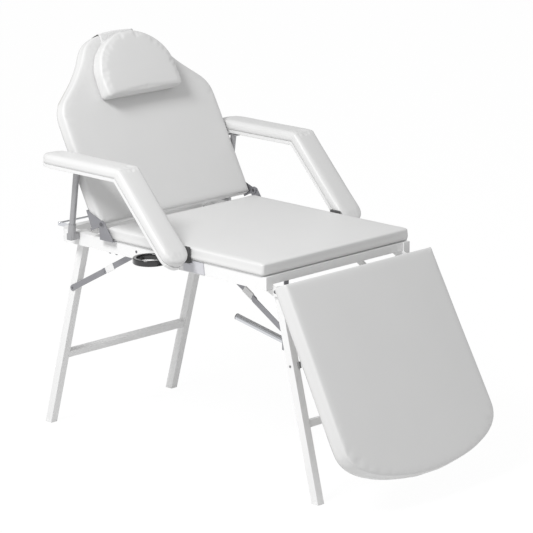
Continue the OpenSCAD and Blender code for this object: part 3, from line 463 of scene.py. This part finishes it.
def bandPath(part):
    b = pillowBand
    top = b["top"] - b["bow"] * part ** 2
    r = b["bend"]
    path = [(s, b["front"]) for s in np.linspace(b["from"], top - r, 12)]
    path += [(top - r + r * math.sin(math.radians(a)), b["front"] - r + r * math.cos(math.radians(a)))
             for a in bandCurve]
    path += [(top, n) for n in np.linspace(b["front"] - r, b["behind"] + r, 5)[1:]]
    path += [(top - r + r * math.cos(math.radians(a)), b["behind"] + r - r * math.sin(math.radians(a)))
             for a in bandCurve]
    return path + [(s, b["behind"]) for s in np.linspace(top - r, b["to"], 9)[1:]]


def makeBand():
    strips = pillowBand["strips"]
    across = np.linspace(-1, 1, strips + 1)
    paths = [bandPath(part) for part in across]
    n = len(paths[0])
    verts = [(part * pillowBand["width"] / 2000, s / 1000, up / 1000)
             for part, path in zip(across, paths) for s, up in path]
    faces = [(k * n + i, k * n + i + 1, (k + 1) * n + i + 1, (k + 1) * n + i)
             for k in range(strips) for i in range(n - 1)]
    piece = newPiece("pillowBand", verts, faces, elasticCloth)
    thick = piece.modifiers.new("thickness", "SOLIDIFY")
    thick.thickness = pillowBand["thick"] / 1000
    thick.offset = 0
    useOnly(piece)
    bpy.ops.object.modifier_apply(modifier="thickness")
    run = np.array(paths[strips // 2])
    length = float(np.hypot(*np.diff(run, axis=0).T).sum()) / 1000
    return settle(piece, backHinge), length


bandPiece, bandLength = makeBand()
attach(bandPiece, "pillow")
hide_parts("pillow_strap")
print("pillow band made, flat length", round(bandLength, 3))

armPad = {"middle": 354.8, "width": 88, "height": 26, "rear": 808.5, "bend": 487, "seam": 833.1, "fall": 47,
          "slope": 305.5, "shoulder": 11, "crown": 1.2, "pinned": 8, "cap": 1.4, "pressure": 4, "voxel": 4,
          "fill": .85}


def armSection():
    # across the arm, from one foot to the other, in shares of the half width and of the height
    r, rise = armPad["shoulder"] / (armPad["width"] / 2), armPad["shoulder"] / armPad["height"]
    side = [(.93, 0), (.985, .1), (1, .25), (1, 1 - rise)]
    side += [(1 - r + r * math.cos(math.radians(a)), 1 - rise + rise * math.sin(math.radians(a)))
             for a in (18, 36, 54, 72, 90)]
    side += [(.45, 1 + armPad["crown"] / armPad["height"] * .8)]
    middle = [(0, 1 + armPad["crown"] / armPad["height"])]
    return side + middle + [(-x, z) for x, z in reversed(side)]


def armShell(name, side):
    r = armPad["width"] / 2
    tail = armPad["rear"] - armPad["bend"]
    rounds = [(r * (1 - math.cos(math.radians(a))), max(math.sin(math.radians(a)), .08))
              for a in range(0, 91, 9)]
    stations = [(-tail + d, w) for d, w in rounds]
    stations += [(-t, 1) for t in np.linspace(tail - r * 1.15, r * .5, 24)] + [(0, 1)]
    stations += [(t, 1) for t in np.linspace(r * .5, armPad["slope"] - r * 1.15, 24)]
    stations += [(armPad["slope"] - d, w) for d, w in reversed(rounds)]
    fall = math.radians(armPad["fall"])
    section = armSection()
    verts = []
    for t, w in stations:
        if t < 0:
            at, up = (armPad["bend"] - t, armPad["seam"]), (0, 1)
        elif t > 0:
            at = (armPad["bend"] - t * math.cos(fall), armPad["seam"] - t * math.sin(fall))
            up = (-math.sin(fall), math.cos(fall))
        else:
            at, up = (armPad["bend"], armPad["seam"]), (-math.tan(fall / 2), 1)
        h = armPad["height"] * (.5 + .5 * math.sqrt(min(1, w * 1.15)))
        for sx, sz in section:
            verts.append(fromDrawing(side * (armPad["middle"] + r * w * sx),
                                     at[0] + up[0] * h * sz, at[1] + up[1] * h * sz))
    n, m = len(section), len(stations)
    faces = [(k * n + i, k * n + (i + 1) % n, (k + 1) * n + (i + 1) % n, (k + 1) * n + i)
             for k in range(m - 1) for i in range(n)]
    faces += [tuple(range(n)), tuple((m - 1) * n + i for i in range(n))]
    piece = newPiece(name, verts, faces, whiteVinyl)
    outward(piece)
    return piece


def outward(piece):
    mesh = bmesh.new()
    mesh.from_mesh(piece.data)
    bmesh.ops.remove_doubles(mesh, verts=mesh.verts, dist=1e-6)
    bmesh.ops.recalc_face_normals(mesh, faces=mesh.faces)
    mesh.to_mesh(piece.data)
    mesh.free()


def nearSeam(v):
    y, z = v[1] * 1000 + midY, v[2] * 1000
    fall = math.radians(armPad["fall"])
    level = y > armPad["bend"]
    line = armPad["seam"] if level else armPad["seam"] - (armPad["bend"] - y) * math.tan(fall)
    return (z - line) * (1 if level else math.cos(fall)) < armPad["pinned"]


for sideName, side in (("left", -1), ("right", 1)):
    armCushion = armShell("armCushion" + sideName.capitalize(), side)
    puffUp(armCushion, nearSeam, armPad["pressure"], armPad["voxel"] / 1000, armPad["cap"] / 1000)
    declarePad(armCushion, "arm_" + sideName, "arm_pad_" + sideName)
print("arm cushions made")


def geometryTree(name, sockets):
    tree = bpy.data.node_groups.new(name, "GeometryNodeTree")
    tree.interface.new_socket("Geometry", in_out="INPUT", socket_type="NodeSocketGeometry")
    for label, kind in sockets:
        tree.interface.new_socket(label, in_out="INPUT", socket_type=kind)
    tree.interface.new_socket("Geometry", in_out="OUTPUT", socket_type="NodeSocketGeometry")
    return tree, tree.nodes.new("NodeGroupInput"), tree.nodes.new("NodeGroupOutput")


def endTree(tree, given, out, shape):
    real = tree.nodes.new("GeometryNodeRealizeInstances")
    finish = tree.nodes.new("GeometryNodeSetMaterial")
    tree.links.new(shape, real.inputs[0])
    tree.links.new(real.outputs[0], finish.inputs["Geometry"])
    tree.links.new(given.outputs["Finish"], finish.inputs["Material"])
    tree.links.new(finish.outputs[0], out.inputs[0])
    return tree


def pinRowTree():
    # short round pins lying along a path at an even spacing, each turned a little its own way
    tree, given, out = geometryTree("pinRow", [("Spacing", "NodeSocketFloat"), ("Length", "NodeSocketFloat"),
                                               ("Gauge", "NodeSocketFloat"), ("Turn", "NodeSocketFloat"),
                                               ("Finish", "NodeSocketMaterial")])
    path = tree.nodes.new("GeometryNodeMeshToCurve")
    spots = tree.nodes.new("GeometryNodeCurveToPoints")
    spots.mode = "LENGTH"
    pin = tree.nodes.new("GeometryNodeMeshCylinder")
    pin.inputs["Vertices"].default_value = 8
    half = tree.nodes.new("ShaderNodeMath")
    half.operation = "MULTIPLY"
    half.inputs[1].default_value = .5
    place = tree.nodes.new("GeometryNodeInstanceOnPoints")
    turn = tree.nodes.new("GeometryNodeRotateInstances")
    rest = tree.nodes.new("FunctionNodeRandomValue")
    rest.data_type = "FLOAT_VECTOR"
    rest.inputs["Seed"].default_value = 7
    least = tree.nodes.new("ShaderNodeCombineXYZ")
    most = tree.nodes.new("ShaderNodeCombineXYZ")
    minus = tree.nodes.new("ShaderNodeMath")
    minus.operation = "MULTIPLY"
    minus.inputs[1].default_value = -1
    tree.links.new(given.outputs["Geometry"], path.inputs[0])
    tree.links.new(path.outputs[0], spots.inputs["Curve"])
    tree.links.new(given.outputs["Spacing"], spots.inputs["Length"])
    tree.links.new(given.outputs["Gauge"], half.inputs[0])
    tree.links.new(half.outputs[0], pin.inputs["Radius"])
    tree.links.new(given.outputs["Length"], pin.inputs["Depth"])
    tree.links.new(spots.outputs["Points"], place.inputs["Points"])
    tree.links.new(spots.outputs["Rotation"], place.inputs["Rotation"])
    tree.links.new(pin.outputs["Mesh"], place.inputs["Instance"])
    tree.links.new(given.outputs["Turn"], minus.inputs[0])
    tree.links.new(minus.outputs[0], least.inputs["X"])
    tree.links.new(given.outputs["Turn"], most.inputs["X"])
    tree.links.new(least.outputs[0], rest.inputs[0])
    tree.links.new(most.outputs[0], rest.inputs[1])
    tree.links.new(place.outputs[0], turn.inputs["Instances"])
    tree.links.new(rest.outputs[0], turn.inputs["Rotation"])
    return endTree(tree, given, out, turn.outputs[0])


def screwTree():
    # low screw heads, one on each point, all facing one way
    tree, given, out = geometryTree("screwHeads", [("Radius", "NodeSocketFloat"), ("Rise", "NodeSocketFloat"),
                                                   ("Finish", "NodeSocketMaterial")])
    head = tree.nodes.new("GeometryNodeMeshCone")
    head.inputs["Vertices"].default_value = 20
    head.inputs["Side Segments"].default_value = 3
    neck = tree.nodes.new("ShaderNodeMath")
    neck.operation = "MULTIPLY"
    neck.inputs[1].default_value = .6
    place = tree.nodes.new("GeometryNodeInstanceOnPoints")
    tree.links.new(given.outputs["Radius"], head.inputs["Radius Top"])
    tree.links.new(given.outputs["Radius"], neck.inputs[0])
    tree.links.new(neck.outputs[0], head.inputs["Radius Bottom"])
    tree.links.new(given.outputs["Rise"], head.inputs["Depth"])
    tree.links.new(given.outputs["Geometry"], place.inputs["Points"])
    tree.links.new(head.outputs["Mesh"], place.inputs["Instance"])
    return endTree(tree, given, out, place.outputs[0])


def ringTree():
    # a rounded flat band swept round a circle
    tree, given, out = geometryTree("sweptRing", [("Radius", "NodeSocketFloat"), ("Band", "NodeSocketFloat"),
                                                  ("Height", "NodeSocketFloat"), ("Round", "NodeSocketFloat"),
                                                  ("Finish", "NodeSocketMaterial")])
    circle = tree.nodes.new("GeometryNodeCurvePrimitiveCircle")
    circle.inputs["Resolution"].default_value = 128
    flat = tree.nodes.new("GeometryNodeCurvePrimitiveQuadrilateral")
    soft = tree.nodes.new("GeometryNodeFilletCurve")
    soft.mode = "POLY"
    soft.inputs["Count"].default_value = 6
    sweep = tree.nodes.new("GeometryNodeCurveToMesh")
    tree.links.new(given.outputs["Radius"], circle.inputs["Radius"])
    tree.links.new(given.outputs["Band"], flat.inputs["Width"])
    tree.links.new(given.outputs["Height"], flat.inputs["Height"])
    tree.links.new(flat.outputs[0], soft.inputs["Curve"])
    tree.links.new(given.outputs["Round"], soft.inputs["Radius"])
    tree.links.new(circle.outputs[0], sweep.inputs["Curve"])
    tree.links.new(soft.outputs[0], sweep.inputs["Profile Curve"])
    return endTree(tree, given, out, sweep.outputs[0])


pinRow, screwHeads, sweptRing = pinRowTree(), screwTree(), ringTree()


def grow(name, tree, values, verts=(), edges=()):
    # the tree grows on a bare path or set of points, and its result stays as a plain mesh
    mesh = bpy.data.meshes.new(name)
    mesh.from_pydata([tuple(v) for v in verts], list(edges), [])
    piece = bpy.data.objects.new(name, mesh)
    scene.collection.objects.link(piece)
    grower = piece.modifiers.new("grower", "NODES")
    grower.node_group = tree
    for item in tree.interface.items_tree:
        if item.in_out == "INPUT" and item.name in values:
            grower[item.identifier] = values[item.name]
    bpy.context.view_layer.update()
    grown = bpy.data.meshes.new_from_object(piece.evaluated_get(bpy.context.evaluated_depsgraph_get()))
    piece.modifiers.remove(grower)
    piece.data = grown
    grown.name = name
    outward(piece)
    return piece


def insetLoop(outline, inset, height):
    pts = np.array(outline)
    half, centre = (pts.max(0) - pts.min(0)) / 2, (pts.max(0) + pts.min(0)) / 2
    return [(x, y, height) for x, y in centre + (pts - centre) * (1 - inset / half)]


# the cover is folded under each board and stapled
hem = {"outer": 2, "inner": 24, "thick": .7, "stapleIn": 15, "spacing": 42, "staple": 9, "gauge": 1,
       "turn": .25}


def hemAndStaples(label, outline, place, body):
    low = -hem["thick"] / 1000
    corners = (("outer", low), ("outer", 0), ("inner", 0), ("inner", low))
    loops = [insetLoop(outline, hem[k] / 1000, z) for k, z in corners]
    n = len(outline)
    faces = [(k * n + i, k * n + (i + 1) % n, (k + 1) % 4 * n + (i + 1) % n, (k + 1) % 4 * n + i)
             for k in range(4) for i in range(n)]
    fold = newPiece(label + "Hem", [v for loop in loops for v in loop], faces, whiteVinyl, False)
    outward(fold)
    settle(fold, place)
    path = insetLoop(outline, hem["stapleIn"] / 1000, low)
    stapleSizes = {"Spacing": hem["spacing"] / 1000, "Length": hem["staple"] / 1000,
                   "Gauge": hem["gauge"] / 1000, "Turn": hem["turn"], "Finish": brightWire}
    staples = grow(label + "Staples", pinRow, stapleSizes, path, [(i, (i + 1) % n) for i in range(n)])
    settle(staples, place)
    for piece, slotName in ((fold, "vinyl"), (staples, "steel")):
        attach(piece, body)


hemAndStaples("seat", seatOutline, seatPlace, "frame")
hemAndStaples("back", backOutline, backPlace, "back")
hemAndStaples("rest", restOutline, restPlace, "leg_rest")
print("hems and staples made")

# two rows of stitches close the band behind the back
bandSeam = {"rows": (6, 11), "inset": 4, "spacing": 4.2, "stitch": 2.8, "gauge": .7, "turn": .08}
seamRows, seamEdges = [], []
seamBehind = (pillowBand["behind"] - pillowBand["thick"] / 2) / 1000
seamHalf = pillowBand["width"] / 2 - bandSeam["inset"]
for row in bandSeam["rows"]:
    seamRows += [(x / 1000, (pillowBand["to"] + row) / 1000, seamBehind) for x in (-seamHalf, seamHalf)]
    seamEdges.append((len(seamRows) - 2, len(seamRows) - 1))
stitchSizes = {"Spacing": bandSeam["spacing"] / 1000, "Length": bandSeam["stitch"] / 1000,
               "Gauge": bandSeam["gauge"] / 1000, "Turn": bandSeam["turn"], "Finish": threadWhite}
bandStitches = grow("bandStitches", pinRow, stitchSizes, seamRows, seamEdges)
settle(bandStitches, backHinge)
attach(bandStitches, "pillow")

baseScrews = {"places": (560, 640, 690, 780), "belowSeam": 12.3, "radius": 3.6, "rise": 1.5}
screwSizes = {"Radius": baseScrews["radius"] / 1000, "Rise": baseScrews["rise"] / 1000, "Finish": brightWire}
screwTop = (armPad["seam"] - baseScrews["belowSeam"]) / 1000 - baseScrews["rise"] / 1000
for sideName, side in (("left", -1), ("right", 1)):
    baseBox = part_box("arm_base_" + sideName)
    across = (baseBox[0][0] + baseBox[1][0]) / 2
    spots = [(across, (y - midY) / 1000, screwTop) for y in baseScrews["places"]]
    screws = grow("baseScrews" + sideName.capitalize(), screwHeads, screwSizes, spots)
    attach(screws, "arm_" + sideName)

cupRing = {"band": 10.2, "round": 2.6}
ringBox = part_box("ring_holder")
ringWide = (ringBox[1][0] - ringBox[0][0]) / 2
ringHigh = ringBox[1][2] - ringBox[0][2]
ringSizes = {"Radius": ringWide - cupRing["band"] / 2000, "Band": cupRing["band"] / 1000,
             "Height": ringHigh, "Round": cupRing["round"] / 1000, "Finish": blackGloss}
ring = grow("cupRing", sweptRing, ringSizes)
ring.data.shade_smooth()
settle(ring, Matrix.Translation([(a + b) / 2 for a, b in zip(*ringBox)]))
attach(ring, "frame")
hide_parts("ring_holder")
print("stitches, screws and ring made")


def stageMaterial(name, colour, glow, share):
    # the camera sees mostly a plain glow, and the rest keeps the object's shadow
    mat = bpy.data.materials.new(name)
    mat.use_nodes = True
    tree = mat.node_tree
    tree.nodes.clear()
    out = tree.nodes.new("ShaderNodeOutputMaterial")
    mix = tree.nodes.new("ShaderNodeMixShader")
    dull = tree.nodes.new("ShaderNodeBsdfDiffuse")
    dull.inputs["Color"].default_value = (*colour, 1)
    bright = tree.nodes.new("ShaderNodeEmission")
    bright.inputs["Color"].default_value = (1, 1, 1, 1)
    bright.inputs["Strength"].default_value = glow
    rays = tree.nodes.new("ShaderNodeLightPath")
    seen = tree.nodes.new("ShaderNodeMath")
    seen.operation = "ADD"
    seenToo = tree.nodes.new("ShaderNodeMath")
    seenToo.operation = "ADD"
    part = tree.nodes.new("ShaderNodeMath")
    part.operation = "MULTIPLY"
    part.use_clamp = True
    part.inputs[1].default_value = share
    tree.links.new(rays.outputs["Is Camera Ray"], seen.inputs[0])
    tree.links.new(rays.outputs["Is Glossy Ray"], seen.inputs[1])
    tree.links.new(seen.outputs[0], seenToo.inputs[0])
    tree.links.new(rays.outputs["Is Transmission Ray"], seenToo.inputs[1])
    tree.links.new(seenToo.outputs[0], part.inputs[0])
    tree.links.new(part.outputs[0], mix.inputs["Fac"])
    tree.links.new(dull.outputs["BSDF"], mix.inputs[1])
    tree.links.new(bright.outputs["Emission"], mix.inputs[2])
    tree.links.new(mix.outputs["Shader"], out.inputs["Surface"])
    return mat


room = {"floorHalf": 30, "floorColour": (.8, .8, .8), "glow": 1.03, "share": .93, "world": .57}
paleFloor = stageMaterial("paleFloor", room["floorColour"], room["glow"], room["share"])
floorCorners = [(x * room["floorHalf"], y * room["floorHalf"], 0)
                for x, y in ((-1, -1), (1, -1), (1, 1), (-1, 1))]
floor = newPiece("floor", floorCorners, [(0, 1, 2, 3)], paleFloor, False)

world = bpy.data.worlds.new("paleRoom")
scene.world = world
world.use_nodes = True
tree = world.node_tree
sky = tree.nodes["Background"]
sky.inputs["Color"].default_value = (1, 1, 1, 1)
sky.inputs["Strength"].default_value = room["world"]
seenSky = tree.nodes.new("ShaderNodeBackground")
seenSky.inputs["Color"].default_value = (1, 1, 1, 1)
rays = tree.nodes.new("ShaderNodeLightPath")
pick = tree.nodes.new("ShaderNodeMixShader")
tree.links.new(rays.outputs["Is Camera Ray"], pick.inputs["Fac"])
tree.links.new(sky.outputs["Background"], pick.inputs[1])
tree.links.new(seenSky.outputs["Background"], pick.inputs[2])
tree.links.new(pick.outputs["Shader"], tree.nodes["World Output"].inputs["Surface"])

keyLeft = {"place": (-3.05, -.25, 3.75), "aim": (0, 0, .6), "size": 1.3, "power": 140}
light = bpy.data.lights.new("keyLeft", "AREA")
light.size = keyLeft["size"]
light.energy = keyLeft["power"]
holder = bpy.data.objects.new("keyLeft", light)
scene.collection.objects.link(holder)
holder.location = keyLeft["place"]
lampAim = Vector(keyLeft["aim"]) - Vector(keyLeft["place"])
holder.rotation_euler = lampAim.to_track_quat("-Z", "Y").to_euler()

scene.view_settings.view_transform = "Standard"
